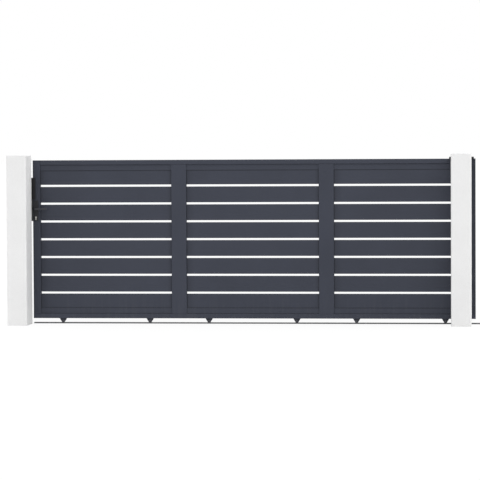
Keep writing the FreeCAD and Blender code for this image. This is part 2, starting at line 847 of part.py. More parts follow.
node("front_lever", lever("front_lever", "leaf_front", -1))
node("back_lever", lever("back_lever", "leaf_back", 1))
node(
    "lever_spindle",
    block(
        "lever_spindle_block",
        ("lock_at - spindle / 2", "lock_at + spindle / 2"),
        LEAF_Y,
        ("lever_height - spindle / 2", "lever_height + spindle / 2"),
    ),
)

# Opening stop: an angle at the far end of the rail with a rubber pad for the bottom rail.
upright = "run_back_end + stop_rubber"
stop_body = body_of("stop_angle")
stop_view = sketch_on(stop_body, "stop_view", "XZ_Plane", "-leaf_mid - stop_width / 2")
outline(
    stop_view,
    [
        (upright, "0"), (f"{upright} + stop_foot", "0"), (f"{upright} + stop_foot", "stop_plate"),
        (f"{upright} + stop_plate", "stop_plate"), (f"{upright} + stop_plate", "stop_height"),
        (upright, "stop_height"),
    ],
)
stop_pad = pad(stop_body, stop_view, "stop_width")
bent = dress(stop_body, "Fillet", stop_pad,
             edges_at(stop_pad, X=f"{upright} + stop_plate", Z="stop_plate"), "stop_bend")
tips = []
for side in (-1, 1):
    edge = f"leaf_mid + {side} * stop_width / 2"
    tips += edges_at(bent, Y=edge, Z="stop_height")
    tips += edges_at(bent, Y=edge, X=f"{upright} + stop_foot")
dress(stop_body, "Fillet", bent, tips, "stop_corner")
rail_room = block(
    "rail_room", ("0", "run_back_end + rail_overrun"),
    ("leaf_mid - foot_width / 2", "leaf_mid + foot_width / 2"), ("0", "bead_top"),
)
node("opening_stop", cut("opening_stop_cut", stop_body, [rail_room]))
node(
    "stop_pad",
    turned(
        "stop_pad_body", "XZ_Plane", "H_Axis",
        ("run_back_end", "leaf_bottom + rail_height / 2", "-leaf_mid"),
        [
            ("0", "0"), ("stop_rubber", "0"), ("stop_rubber", "stop_rubber_radius"),
            ("stop_rubber_edge", "stop_rubber_radius"),
            ("0", "stop_rubber_radius - stop_rubber_edge"),
        ],
    ),
)

doc.recompute()
for item in doc.Objects:
    if "Invalid" in item.State or "Error" in item.State:
        raise RuntimeError(f"{item.Name} did not build: {item.State}")
for name, item in NODES.items():
    shape = item.Shape
    if shape.isNull() or not shape.isValid() or not shape.Solids:
        raise RuntimeError(f"{name} has no valid solid")
    item.Label = name
    shape.exportStep(f"parts/{name}.step")
    print(name, len(shape.Solids), round(shape.Volume / 1e6, 4), "litres",
          [round(v, 1) for v in (shape.BoundBox.XMin, shape.BoundBox.XMax, shape.BoundBox.YMin,
                                 shape.BoundBox.YMax, shape.BoundBox.ZMin, shape.BoundBox.ZMax)])
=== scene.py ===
# %% [markdown]
# # Sliding driveway gate
# The solids of this gate come from the CAD model: two rendered pillars, a slatted aluminium
# leaf on six grooved wheels, a ground rail, a roller guide, a keep and a lock. This lesson
# gives each of them its real finish, adds the small hardware that the solids leave out, and
# sets the camera and light. Everything is in metres, in the frame of the CAD model.

# %% Load the frame
import json
import math

import bmesh
import bpy
from mathutils import Matrix, Vector


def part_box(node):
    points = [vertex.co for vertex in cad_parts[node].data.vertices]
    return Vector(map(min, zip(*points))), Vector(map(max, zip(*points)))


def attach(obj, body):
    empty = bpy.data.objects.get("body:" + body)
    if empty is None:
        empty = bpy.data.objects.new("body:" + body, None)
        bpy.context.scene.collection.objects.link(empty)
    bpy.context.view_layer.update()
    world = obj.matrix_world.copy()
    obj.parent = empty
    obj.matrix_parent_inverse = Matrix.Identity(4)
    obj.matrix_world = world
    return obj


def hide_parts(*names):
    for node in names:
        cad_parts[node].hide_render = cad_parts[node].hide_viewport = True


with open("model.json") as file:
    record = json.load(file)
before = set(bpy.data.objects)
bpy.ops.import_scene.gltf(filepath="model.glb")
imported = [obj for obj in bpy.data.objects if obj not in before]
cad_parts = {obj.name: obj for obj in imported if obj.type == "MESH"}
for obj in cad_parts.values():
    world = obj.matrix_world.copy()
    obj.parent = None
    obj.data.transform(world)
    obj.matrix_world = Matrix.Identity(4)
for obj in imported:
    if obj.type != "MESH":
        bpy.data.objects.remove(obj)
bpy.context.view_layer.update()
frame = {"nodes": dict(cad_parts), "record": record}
bpy.ops.object.select_all(action="DESELECT")

# %% [markdown]
# ## Camera
# The gate is seen from the street, from far off with a long lens, so that its lines stay
# almost parallel. The eye stands before the right pillar, which is why only the left pillar
# shows its inner side. A lens shift would also give this view, but the camera is turned a
# little to the left instead.

# %% Street camera
EYE = Vector((0.392, -24.0, 1.728))
TURN_LEFT = math.radians(5.88)
LOOK_DOWN = math.radians(2.19)
TILT = math.radians(-0.29)
LENS = 192.0

camera_data = bpy.data.cameras.new("street_camera")
camera_data.lens = LENS
camera_data.clip_end = 500
camera = bpy.data.objects.new("street_camera", camera_data)
bpy.context.scene.collection.objects.link(camera)
camera.matrix_world = (
    Matrix.Translation(EYE)
    @ Matrix.Rotation(TURN_LEFT, 4, "Z")
    @ Matrix.Rotation(math.radians(90) - LOOK_DOWN, 4, "X")
    @ Matrix.Rotation(TILT, 4, "Z")
)
bpy.context.scene.camera = camera
bpy.context.scene.view_settings.view_transform = "Standard"
print("camera at", tuple(EYE), "lens", LENS)

# %% [markdown]
# ## Shader maths as Python
# A material is a graph of nodes. Wiring each Math node by hand hides the formula, so one small
# class wraps a socket: arithmetic on it adds Math nodes, and its node method adds any other
# node, with its settings first and then its values or links.

# %% The Wire class
ALONG_X = 0
ALONG_Z = 2


class Wire:
    """An output socket that takes part in Python expressions."""

    def __init__(self, tree, socket):
        self.tree = tree
        self.socket = socket

    def node(self, kind, settings, sources, out=0):
        made = self.tree.nodes.new(kind)
        for name, setting in settings.items():
            setattr(made, name, setting)
        for name, source in sources.items():
            if isinstance(source, Wire):
                self.tree.links.new(source.socket, made.inputs[name])
            else:
                made.inputs[name].default_value = source
        return Wire(self.tree, made.outputs[out])

    def math(self, operation, first, second):
        return self.node("ShaderNodeMath", {"operation": operation}, {0: first, 1: second})

    def __add__(self, other):
        return self.math("ADD", self, other)

    def __radd__(self, other):
        return self.math("ADD", other, self)

    def __sub__(self, other):
        return self.math("SUBTRACT", self, other)

    def __rsub__(self, other):
        return self.math("SUBTRACT", other, self)

    def __mul__(self, other):
        return self.math("MULTIPLY", self, other)

    def __rmul__(self, other):
        return self.math("MULTIPLY", other, self)

    def noise(self, size, detail=2.0, roughness=0.5):
        """Cloudy value from 0 to 1 whose blotches are about size metres across."""
        sources = {"Vector": self, "Scale": 1 / size, "Detail": detail, "Roughness": roughness}
        return self.node("ShaderNodeTexNoise", {}, sources)

    def coordinate(self, axis):
        """How far along one axis this place lies."""
        return self.node("ShaderNodeSeparateXYZ", {}, {"Vector": self}, out=axis)

    def stretched(self, x, y, z):
        """The same place, with each axis scaled, so that a pattern gets longer or shorter."""
        return self.node(
            "ShaderNodeVectorMath", {"operation": "MULTIPLY"}, {0: self, 1: (x, y, z)}
        )

    def ramp(self, low, high):
        """0 up to low and 1 from high, smooth between."""
        settings = {"interpolation_type": "SMOOTHSTEP"}
        return self.node(
            "ShaderNodeMapRange", settings, {"Value": self, "From Min": low, "From Max": high}
        )

    def blend(self, first, second):
        """First colour at 0, second at 1."""
        sources = {0: self, 6: first, 7: second}
        return self.node("ShaderNodeMix", {"data_type": "RGBA"}, sources, out=2)

    def bump(self, strength, depth):
        """Surface normal for this height."""
        sources = {"Strength": strength, "Distance": depth, "Height": self}
        return self.node("ShaderNodeBump", {}, sources)


def shade(colour, factor):
    """A colour made lighter or darker, with alpha 1."""
    return (*[min(1.0, channel * factor) for channel in colour], 1.0)


def new_finish(name, **constants):
    """A material, its shader and the place on the object, with the constant sockets set."""
    material = bpy.data.materials.new(name)
    material.use_nodes = True
    shader = material.node_tree.nodes["Principled BSDF"]
    for socket, setting in constants.items():
        shader.inputs[socket.replace("_", " ")].default_value = setting
    coordinates = material.node_tree.nodes.new("ShaderNodeTexCoord")
    return material, shader, Wire(material.node_tree, coordinates.outputs["Object"])


def feed(shader, **wires):
    """Links wires to the shader's sockets."""
    for socket, wire in wires.items():
        wire.tree.links.new(wire.socket, shader.inputs[socket.replace("_", " ")])


print("shader tools ready")

# %% [markdown]
# ## Powder coat
# The leaf's aluminium is powder coated in anthracite: a baked film with a fine, even pimple
# and hardly any gloss. One function makes all the coated metal of the gate, because the black
# brackets, the lock and the levers differ only in colour, grain and gloss; the levers are
# painted paler, a painted sheen for the light that satin catches. Faint broad clouds keep four
# metres of one colour from looking printed, and pale dust gathers towards the ground. The shade
# in the corners where a slat meets the frame is painted in as dark lines, so the function takes
# a list of them, each with its axis, its place, how far the painted shade reaches and how dark
# it is.

# %% Coated metal
STREET_DUST = (0.30, 0.29, 0.27, 1.0)
DUST_TOP = 0.45
CLOUD_SIZE = 0.35
# how dark a line of painted shade gets, as a share of the coat's colour
PAINTED_SHADE_FACTOR = 0.25


def coated_metal(name, colour, grain, gloss, dust, shade_lines=()):
    material, shader, place = new_finish(name, Specular_IOR_Level=0.25)
    pimples = place.noise(grain, detail=3.0, roughness=0.6)
    clouds = place.noise(CLOUD_SIZE, detail=3.0)
    low_down = 1 - place.coordinate(ALONG_Z).ramp(0.0, DUST_TOP)
    streaks = place.stretched(1.0, 1.0, 0.05).noise(0.03, detail=2.0)
    dusty = low_down * streaks.ramp(0.45, 0.75) * dust
    base = (clouds * 0.6 + pimples * 0.4).ramp(0.25, 0.75)
    tint = base.blend(shade(colour, 0.92), shade(colour, 1.08))
    # painted shade: near each of these lines the colour is darkened, for the shade in the leaf's
    # corners
    for axis, spot, reach, depth in shade_lines:
        distance = place.math("ABSOLUTE", place.coordinate(axis) - spot, 0.0)
        near = 1 - distance.ramp(0.0, reach)
        tint = (near * (clouds * 0.5 + 0.5) * depth).blend(tint, shade(colour, PAINTED_SHADE_FACTOR))
    feed(
        shader,
        Base_Color=dusty.blend(tint, STREET_DUST),
        Roughness=pimples * 0.14 + (1 - gloss) + dusty * 0.3,
        Normal=pimples.bump(0.35, 0.0002),
    )
    return material


ANTHRACITE = (0.040, 0.045, 0.0635)
BLACK = (0.0145, 0.0148, 0.0172)
SATIN_BLACK = shade(BLACK, 1.65)[:3]
# the levers' satin black, painted paler as a painted sheen for the light the lever catches
SHEEN_BLACK = shade(BLACK, 2.8)[:3]
LEAF_FILM = {"grain": 0.0012, "gloss": 0.55, "dust": 0.03}
anthracite_coat = coated_metal("anthracite_coat", ANTHRACITE, **LEAF_FILM)
black_coat = coated_metal("black_coat", BLACK, grain=0.0016, gloss=0.45, dust=0.18)
black_satin = coated_metal("black_satin", SATIN_BLACK, grain=0.0008, gloss=0.62, dust=0.06)
lever_satin = coated_metal("lever_satin", SHEEN_BLACK, grain=0.0008, gloss=0.66, dust=0.0)
print("coated:", anthracite_coat.name, black_coat.name, black_satin.name, lever_satin.name)

# %% [markdown]
# ## Painted shade along the leaf's joints
# The slats sit back from the stiles, so their ends lie in a shaded corner, and that shade is
# painted into the coat as a dark line. So is the shade along both strips, over the bottom rail
# and at the butt joints of the frame. A fainter painted shadow lies beside the left pillar, at
# the left end of each bay, which is in the lee of a stile, and on the end that stays behind the
# right pillar. It could be painted on an image, but a distance from a line is sharper and needs
# no unwrapping. Each of these nodes gets a coat of its own, whose lines are read from the boxes
# of the nodes. The forks wear the leaf's colour too, a little darker as painted shade, and
# dustier.

# %% Coats with painted shade lines
# how far each kind of painted shade reaches, in metres, and how dark it is at its line
CORNER_LINE = (0.009, 1.0)
LEE_SHADOW = (0.085, 0.34)
FAINT_SHADOW = (0.045, 0.22)
PILLAR_SHADOW = (0.95, 0.20)
TAIL_SHADOW = (0.085, 0.62)
LEDGE_LINE = (0.012, 1.0)
JOINT_LINE = (0.004, 0.7)


def leaf_coat(node, shade_lines):
    """The leaf's coat, with a broad painted shadow beside the left pillar and the node's own
    painted shade lines.
    """
    # the broad painted shadow of the left pillar
    film = (ALONG_X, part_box("left_stile")[0].x, *PILLAR_SHADOW)
    return coated_metal(node + "_coat", ANTHRACITE, **LEAF_FILM, shade_lines=[film, *shade_lines])


def slat_shade_lines(bay):
    """Painted shade at both ends of a bay, a dark corner line and a fainter painted shadow, and
    a painted shade line at each strip.
    """
    low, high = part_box(bay)
    return [
        (ALONG_X, low.x, *CORNER_LINE),
        (ALONG_X, high.x, *CORNER_LINE),
        (ALONG_X, low.x, *LEE_SHADOW),
        (ALONG_X, high.x, *FAINT_SHADOW),
        (ALONG_Z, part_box("lower_strips")[1].z, *LEDGE_LINE),
        (ALONG_Z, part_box("upper_strips")[0].z, *LEDGE_LINE),
    ]


own_finish = {"front_lever": lever_satin, "back_lever": lever_satin}
for bay in ("slats_1", "slats_2", "slats_3"):
    own_finish[bay] = leaf_coat(bay, slat_shade_lines(bay))
# painted shade lines at each stile's two ends, and a painted shadow along the outer edge of each
# end stile
for stile in ("left_stile", "middle_stile_1", "middle_stile_2", "right_stile"):
    joints = [(ALONG_Z, corner.z, *JOINT_LINE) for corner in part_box(stile)]
    if stile == "left_stile":
        joints.append((ALONG_X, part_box(stile)[0].x, *FAINT_SHADOW))
    if stile == "right_stile":
        joints.append((ALONG_X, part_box(stile)[1].x, *TAIL_SHADOW))
    own_finish[stile] = leaf_coat(stile, joints)
# painted shade lines at both ends of the top rail
top_joints = [(ALONG_X, corner.x, *JOINT_LINE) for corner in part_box("top_rail")]
own_finish["top_rail"] = leaf_coat("top_rail", top_joints)
own_finish["upper_strips"] = leaf_coat("upper_strips", [])
# a painted shade line along the foot of the lower strips
strip_foot = (ALONG_Z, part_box("lower_strips")[0].z, *CORNER_LINE)
own_finish["lower_strips"] = leaf_coat("lower_strips", [strip_foot])
# the leaf's own anthracite, with a quarter taken off as painted shade for where the forks hang
# under the leaf
SHADED_FORK_GREY = shade(ANTHRACITE, 0.75)[:3]
fork_coat = coated_metal("fork_coat", SHADED_FORK_GREY, grain=0.0012, gloss=0.45, dust=0.12)
own_finish["wheel_forks"] = fork_coat
print("own finishes:", list(own_finish))

# %% [markdown]
# ## White render
# The pillars wear a thin scraped render. Up close it is a field of sand grains about two
# millimetres across, with shallow trowel marks between them and small pits where the scraper
# has torn a grain out. Grains and pits are bump, because as mesh they would cost millions of
# faces; the trowel waves are real geometry, made below.

# %% Render finish
SPLASHED_SOIL = (0.52, 0.49, 0.44, 1.0)
SPLASH_TOP = 0.10


def scraped_render(name, colour):
    material, shader, place = new_finish(name)
    grains = place.noise(0.0035, detail=4.0, roughness=0.65)
    scrapes = place.stretched(1.0, 1.0, 0.6).noise(0.02, detail=3.0)
    clouds = place.noise(0.30, detail=4.0)
    pits = 1 - place.noise(0.0048, detail=3.0, roughness=0.6).ramp(0.30, 0.44)
    height = place.coordinate(ALONG_Z)
    splash = (1 - height.ramp(0.0, SPLASH_TOP)) * clouds.ramp(0.35, 0.75) * 0.10
    base = (clouds * 0.5 + grains * 0.3 + scrapes * 0.2).ramp(0.2, 0.8)
    tint = base.blend(shade(colour, 0.965), shade(colour, 1.03))
    # painted shade: the pits are darkened in colour as well as bumped, for the shade in these
    # hollows
    pitted = (pits * 0.45).blend(tint, shade(colour, 0.72))
    feed(
        shader,
        Base_Color=splash.blend(pitted, SPLASHED_SOIL),
        Roughness=grains * 0.15 + 0.80,
        Normal=(grains * 0.5 + scrapes * 0.3 - pits * 0.4).bump(0.8, 0.002),
    )
    return material


white_render = scraped_render("white_render", (0.84, 0.84, 0.84))
print("render:", white_render.name)

# %% [markdown]
# ## Bare metals
# The ground rail is hot-dip galvanised and has gone dull: zinc crystals of about a centimetre,
# each with its own grey, and a worn track on the bead where the wheels run. The wheels are
# turned steel with fine rings round the axle, their axle bolts are oiled steel, the other bolts
# are bright zinc, and the key cylinder is satin nickel.

# %% Zinc, steel and nickel
CRYSTALS_PER_METRE = 110.0


def dull_zinc(name, colour, track):
    """Old zinc that is worn bright between the two heights of a wheel track."""
    material, shader, place = new_finish(name, Metallic=0.55)
    sources = {"Vector": place, "Scale": CRYSTALS_PER_METRE}
    cells = place.node("ShaderNodeTexVoronoi", {"feature": "F1"}, sources, out=1)
    crystal = place.node("ShaderNodeSeparateColor", {}, {"Color": cells})
    stains = place.noise(0.09, detail=4.0)
    mottle = crystal * 0.55 + stains * 0.45
    height = place.coordinate(ALONG_Z)
    worn = height.ramp(*track) * (stains * 0.6 + 0.3)
    aged = mottle.blend(shade(colour, 0.72), shade(colour, 1.28))
    feed(
        shader,
        Base_Color=worn.blend(aged, shade(colour, 1.9)),
        Roughness=crystal * 0.18 + stains * 0.12 + 0.38 - worn * 0.2,
        Normal=stains.bump(0.15, 0.0004),
    )
    return material


def worked_metal(name, colour, roughness, lines):
    """Metal with fine tool lines, made by squeezing a noise along one axis."""
    material, shader, place = new_finish(name, Metallic=1.0)
    scratch = place.stretched(*lines).noise(0.004, detail=3.0, roughness=0.7)
    film = place.noise(0.012, detail=3.0)
    mottle = scratch * 0.6 + film * 0.4
    feed(
        shader,
        Base_Color=mottle.blend(shade(colour, 0.82), shade(colour, 1.15)),
        Roughness=mottle * 0.22 + roughness,
        Normal=scratch.bump(0.12, 0.0002),
    )
    return material


WHEEL_TRACK = (0.0098, 0.0114)
ROUND_THE_AXLE = (1.0, 12.0, 1.0)
LEVEL_LINES = (1.0, 1.0, 14.0)
NO_LINES = (1.0, 1.0, 1.0)
ground_zinc = dull_zinc("ground_zinc", (0.108, 0.110, 0.114), WHEEL_TRACK)
turned_steel = worked_metal("turned_steel", (0.11, 0.11, 0.115), 0.34, ROUND_THE_AXLE)
axle_steel = worked_metal("axle_steel", (0.085, 0.085, 0.088), 0.42, NO_LINES)
own_finish["wheel_axles"] = axle_steel
bright_zinc = worked_metal("bright_zinc", (0.30, 0.30, 0.31), 0.36, NO_LINES)
satin_nickel = worked_metal("satin_nickel", (0.50, 0.49, 0.47), 0.24, LEVEL_LINES)
for metal in (ground_zinc, turned_steel, axle_steel, bright_zinc, satin_nickel):
    print("metal:", metal.name)

# %% [markdown]
# ## Plastics and rubber
# The guide rollers are white nylon, the tube ends have black moulded caps, and the buffers are
# rubber. All three are dull, so what tells them apart is their grain and how dust sits on them.

# %% Moulded finishes
PALE_DUST = (0.40, 0.39, 0.37, 1.0)


def moulded(name, colour, roughness, grain, dust):
    material, shader, place = new_finish(name)
    texture = place.noise(grain, detail=2.0)
    film = place.noise(0.04, detail=4.0)
    dusty = film.ramp(0.45, 0.8) * dust
    tint = texture.blend(shade(colour, 0.9), shade(colour, 1.1))
    feed(
        shader,
        Base_Color=dusty.blend(tint, PALE_DUST),
        Roughness=texture * 0.12 + film * 0.08 + roughness,
        Normal=texture.bump(0.25, 0.0002),
    )
    return material


white_nylon = moulded("white_nylon", (0.74, 0.73, 0.69), 0.36, grain=0.003, dust=0.12)
black_moulding = moulded("black_moulding", (0.022, 0.022, 0.024), 0.48, grain=0.001, dust=0.05)
black_rubber = moulded("black_rubber", (0.014, 0.014, 0.014), 0.70, grain=0.002, dust=0.16)
print("moulded:", white_nylon.name, black_moulding.name, black_rubber.name)

# %% [markdown]
# ## Dress the CAD nodes
# The record names a material slot for each node. The nodes keep their meshes and get the
# finish of their slot, or their own finish where one was made above.

# %% Slots to finishes
FINISHES = {
    "render": white_render,
    "leaf_coat": anthracite_coat,
    "galvanised": ground_zinc,
    "black_steel": black_coat,
    "black_fitting": black_satin,
    "black_plastic": black_moulding,
    "black_rubber": black_rubber,
    "wheel_steel": turned_steel,
    "zinc": bright_zinc,
    "nickel": satin_nickel,
    "nylon": white_nylon,
}
for subpart in frame["record"]["subparts"]:
    mesh = frame["nodes"][subpart["node"]].data
    mesh.materials.clear()
    slot_finish = FINISHES[subpart["material_slot"]]
    mesh.materials.append(own_finish.get(subpart["node"], slot_finish))

# %% [markdown]
# ## Tools for modelling by hand
# Each added piece starts as a primitive and is shaped in edit mode. Operators act on all that
# is selected, so a piece starts with nothing else selected, and faces or edges are picked in
# code by where they lie.


# %% Modelling helpers
def start_piece(add, **sizes):
    """Adds a primitive with nothing else selected, and opens it for editing."""
    bpy.ops.object.select_all(action="DESELECT")
    add(**sizes)
    bpy.ops.object.mode_set(mode="EDIT")
    return bpy.context.object


def pick_faces(test):
    """Selects the faces whose middle and normal pass a test."""
    bpy.ops.mesh.select_mode(type="FACE")
    mesh = bmesh.from_edit_mesh(bpy.context.object.data)
    for face in mesh.faces:
        face.select_set(bool(test(face.calc_center_median(), face.normal)))
    bmesh.update_edit_mesh(bpy.context.object.data)


def pick_edges(test):
    """Selects the edges whose two ends pass a test."""
    bpy.ops.mesh.select_mode(type="EDGE")
    bpy.ops.mesh.select_all(action="DESELECT")
    mesh = bmesh.from_edit_mesh(bpy.context.object.data)
    for edge in mesh.edges:
        edge.select_set(bool(test(edge.verts[0].co, edge.verts[1].co)))
    bmesh.update_edit_mesh(bpy.context.object.data)


def close_piece(piece):
    """Leaves edit mode and puts the piece's place into its mesh."""
    bpy.ops.object.mode_set(mode="OBJECT")
    bpy.ops.object.transform_apply(location=True, rotation=True, scale=True)
    return piece


def joined(name, pieces):
    """One object out of several."""
    bpy.ops.object.select_all(action="DESELECT")
    for piece in pieces:
        piece.select_set(True)
    bpy.context.view_layer.objects.active = pieces[0]
    if len(pieces) > 1:
        bpy.ops.object.join()
    bpy.ops.object.transform_apply(location=True, rotation=True, scale=True)
    bpy.ops.object.shade_smooth_by_angle(angle=math.radians(35))
    pieces[0].name = name
    return pieces[0]


def copies(name, master, places):
    """A set of copies of the master, one at each place, joined. The master is used up."""
    made = []
    for place in places:
        twin = master.copy()
        twin.data = master.data.copy()
        bpy.context.scene.collection.objects.link(twin)
        twin.matrix_world = place
        made.append(twin)
    bpy.data.objects.remove(master)
    return joined(name, made)


def dressed(piece, finish, body):
    """Gives a piece its finish and lets it ride on a body."""
    piece.data.materials.clear()
    piece.data.materials.append(finish)
    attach(piece, body)
    print(piece.name, "faces:", len(piece.data.polygons), "rides on", body)


# %% [markdown]
# ## Pillars with trowel waves
# A rendered pillar is never as flat as its solid: the trowel leaves shallow waves, and the
# arrises wander by a millimetre. The solid could get a bump for this, but a bump leaves the
# outline straight. Here each pillar is a box whose upright and top edges are bevelled, remeshed
# to small quads and pushed inwards a little by a cloud texture.

# %% Pillars
ARRIS = 0.004
WAVE_GRID = 0.008
WAVE_DEPTH = 0.0012

trowel_waves = bpy.data.textures.new("trowel_waves", type="CLOUDS")
trowel_waves.noise_scale = 0.06
trowel_waves.noise_depth = 3


def rendered_pillar(node):
    low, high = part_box(node)
    middle = (low + high) / 2
    piece = start_piece(bpy.ops.mesh.primitive_cube_add, size=1, location=middle)
    bpy.ops.object.mode_set(mode="OBJECT")
    piece.scale = high - low
    bpy.ops.object.transform_apply(location=True, rotation=True, scale=True)
    bpy.ops.object.mode_set(mode="EDIT")
    pick_edges(lambda first, second: max(first.z, second.z) > low.z + ARRIS)
    bpy.ops.mesh.bevel(offset=ARRIS, segments=3)
    close_piece(piece)
    grid = piece.modifiers.new("grid", "REMESH")
    grid.mode = "VOXEL"
    grid.voxel_size = WAVE_GRID
    waves = piece.modifiers.new("waves", "DISPLACE")
    waves.texture = trowel_waves
    waves.texture_coords = "LOCAL"
    waves.mid_level = 1.0
    waves.strength = WAVE_DEPTH
    for modifier in ("grid", "waves"):
        bpy.ops.object.modifier_apply(modifier=modifier)
    joined(node + "_render", [piece])
    dressed(piece, white_render, "ground_set")
    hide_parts(node)


for pillar in ("left_pillar", "right_pillar"):
    rendered_pillar(pillar)

# %% [markdown]
# ## Screws and bolts
# A gate like this is held down by a few dozen small fasteners. A cylinder would do from far
# off, but up close a screw shows a domed rim and a socket, and a bolt shows blunt hexagon
# corners and a washer. Each kind is modelled once, pointing up, and copied to where the solids
# have a hole or a flange for it.

# %% Fastener masters
UP = Matrix.Identity(4)
DOWN = Matrix.Rotation(math.radians(180), 4, "X")
TO_STREET = Matrix.Rotation(math.radians(90), 4, "X")
TO_GARDEN = Matrix.Rotation(math.radians(-90), 4, "X")
# how upright the normal of a level face is, and where a rim lies above a piece's middle
LEVEL = 0.99
RIM = 0.49
# shares of a head's height or radius
DOME = 0.6
SOCKET_WALL = 0.22
SOCKET_DEPTH = 0.55
BLUNT_CORNER = 0.14
CROWN_INSET = 0.12
CROWN_RISE = 0.05
# shares of a washer's thickness or of the radius of the head on it
WASHER_EDGE = 0.3
WASHER_HOLE = 0.8
WASHER_DISH = 0.15


def at(x, y, z, facing):
    """A place for a copy, with the head's top turned to one side."""
    return Matrix.Translation((x, y, z)) @ facing


def is_top(middle, normal):
    return normal.z > LEVEL


def is_underside(middle, normal):
    return normal.z < -LEVEL


def push(distance):
    """Extrudes the picked faces up or down."""
    bpy.ops.mesh.extrude_region_move(TRANSFORM_OT_translate={"value": (0, 0, distance)})


def round_top_rim(height, offset, segments):
    """Bevels the upper rim of a cylinder that stands round its own middle."""
    pick_edges(lambda first, second: min(first.z, second.z) > height * RIM)
    bpy.ops.mesh.bevel(offset=offset, segments=segments, affect="EDGES")


def socket_screw(radius, height, shank_radius, shank):
    """Domed screw with a socket. Its head stands on z = 0 and its shank goes below."""
    piece = start_piece(
        bpy.ops.mesh.primitive_cylinder_add,
        vertices=24, radius=radius, depth=height, location=(0, 0, height / 2),
    )
    round_top_rim(height, height * DOME, 3)
    pick_faces(is_top)
    bpy.ops.mesh.inset(thickness=radius * SOCKET_WALL)
    push(-height * SOCKET_DEPTH)
    pick_faces(is_underside)
    bpy.ops.mesh.inset(thickness=radius - shank_radius)
    push(-shank)
    return close_piece(piece)


def hexagon_bolt(radius, height, washer_radius, washer):
    """Bolt head with blunt corners on a washer, which lies on z = 0."""
    head = start_piece(
        bpy.ops.mesh.primitive_cylinder_add,
        vertices=6, radius=radius, depth=height, location=(0, 0, washer + height / 2),
    )
    round_top_rim(height, height * BLUNT_CORNER, 2)
    pick_faces(is_top)
    bpy.ops.mesh.inset(thickness=radius * CROWN_INSET)
    push(height * CROWN_RISE)
    close_piece(head)
    disc = start_piece(
        bpy.ops.mesh.primitive_cylinder_add,
        vertices=32, radius=washer_radius, depth=washer, location=(0, 0, washer / 2),
    )
    round_top_rim(washer, washer * WASHER_EDGE, 2)
    pick_faces(is_top)
    bpy.ops.mesh.inset(thickness=washer_radius - radius * WASHER_HOLE)
    push(-washer * WASHER_DISH)
    close_piece(disc)
    return joined("bolt_master", [head, disc])


print("fastener masters ready")

# %% [markdown]
# ## Rail screws
# Each ground rail has six pairs of holes along its foot. The screws here fill them: the head
# covers the hole's rim and the shank stands in the hole, so that no hole is left open.

# %% Rail screws
RAIL_MIDDLE = 0.220
FOOT_TOP = 0.0025
STATION_INSET = 0.1465
STATIONS = 6
PAIR_HALF = 0.016


def rail_screw_places(rail):
    low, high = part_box(rail)
    pitch = (high.x - low.x - 2 * STATION_INSET) / (STATIONS - 1)
    return [
        at(low.x + STATION_INSET + station * pitch, RAIL_MIDDLE + side, FOOT_TOP, UP)
        for station in range(STATIONS)
        for side in (-PAIR_HALF, PAIR_HALF)
    ]


for rail in ("passage_rail", "run_back_rail"):
    master = socket_screw(radius=0.0058, height=0.0034, shank_radius=0.0034, shank=FOOT_TOP)
    screws = copies(rail + "_screws", master, rail_screw_places(rail))
    dressed(screws, bright_zinc, "ground_set")

# %% [markdown]
# ## Bracket, keep and stop fasteners
# The guide's back plate and the keep's flange are bolted to the back of their pillars, and the
# opening stop is bolted to the ground on either side of the rail. All of these sit on flat
# faces that point to the garden or up.

# %% Fixed fasteners
GUIDE_PLATE_BACK = 0.151
GUIDE_BOLT_HALF = 0.050
GUIDE_BOLT_RISES = (0.024, 0.086)
guide_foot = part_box("guide_bracket")[0].z
guide_bolt_places = [
    at(side, GUIDE_PLATE_BACK, guide_foot + rise, TO_GARDEN)
    for side in (-GUIDE_BOLT_HALF, GUIDE_BOLT_HALF)
    for rise in GUIDE_BOLT_RISES
]
master = hexagon_bolt(radius=0.0085, height=0.0055, washer_radius=0.012, washer=0.002)
guide_bolts = copies("guide_bolts", master, guide_bolt_places)
dressed(guide_bolts, bright_zinc, "ground_set")

KEEP_FLANGE_BACK = 0.149
KEEP_BOLT_INSET = 0.032
KEEP_BOLT_SHARES = (0.115, 0.5, 0.885)
keep_low, keep_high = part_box("keep")
keep_bolt_x = keep_low.x + KEEP_BOLT_INSET
keep_heights = [keep_low.z + share * (keep_high.z - keep_low.z) for share in KEEP_BOLT_SHARES]
keep_places = [at(keep_bolt_x, KEEP_FLANGE_BACK, z, TO_GARDEN) for z in keep_heights]
master = hexagon_bolt(radius=0.0075, height=0.005, washer_radius=0.011, washer=0.002)
dressed(copies("keep_bolts", master, keep_places), bright_zinc, "ground_set")

STOP_FOOT_TOP = 0.008
STOP_BOLT_INSET = 0.041
STOP_BOLT_HALF = 0.034
stop_bolt_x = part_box("opening_stop")[1].x - STOP_BOLT_INSET
stop_places = [
    at(stop_bolt_x, RAIL_MIDDLE + side, STOP_FOOT_TOP, UP)
    for side in (-STOP_BOLT_HALF, STOP_BOLT_HALF)
]
master = hexagon_bolt(radius=0.0075, height=0.005, washer_radius=0.0095, washer=0.002)
dressed(copies("stop_bolts", master, stop_places), bright_zinc, "ground_set")

# %% [markdown]
# ## Lock fasteners and key plugs
# Two screws hold each lock plate to the stile. The round plug in the middle of the key
# cylinder turns with the key: it stands a little proud and has a narrow upright slot, cut here
# by bisecting the disc along the slot's four sides and pushing the middle face in.

# %% Lock plates and plugs
UPPER_SCREW_DROP = 0.014
LOWER_SCREW_RISE = 0.058
lock_low, lock_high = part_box("lock_plates")
lock_x = (lock_low.x + lock_high.x) / 2
lock_screw_heights = (lock_high.z - UPPER_SCREW_DROP, lock_low.z + LOWER_SCREW_RISE)
lock_screw_places = []
for z in lock_screw_heights:
    lock_screw_places.append(at(lock_x, lock_low.y, z, TO_STREET))
    lock_screw_places.append(at(lock_x, lock_high.y, z, TO_GARDEN))
master = socket_screw(radius=0.0042, height=0.0022, shank_radius=0.002, shank=0.001)
dressed(copies("lock_screws", master, lock_screw_places), black_satin, "leaf")

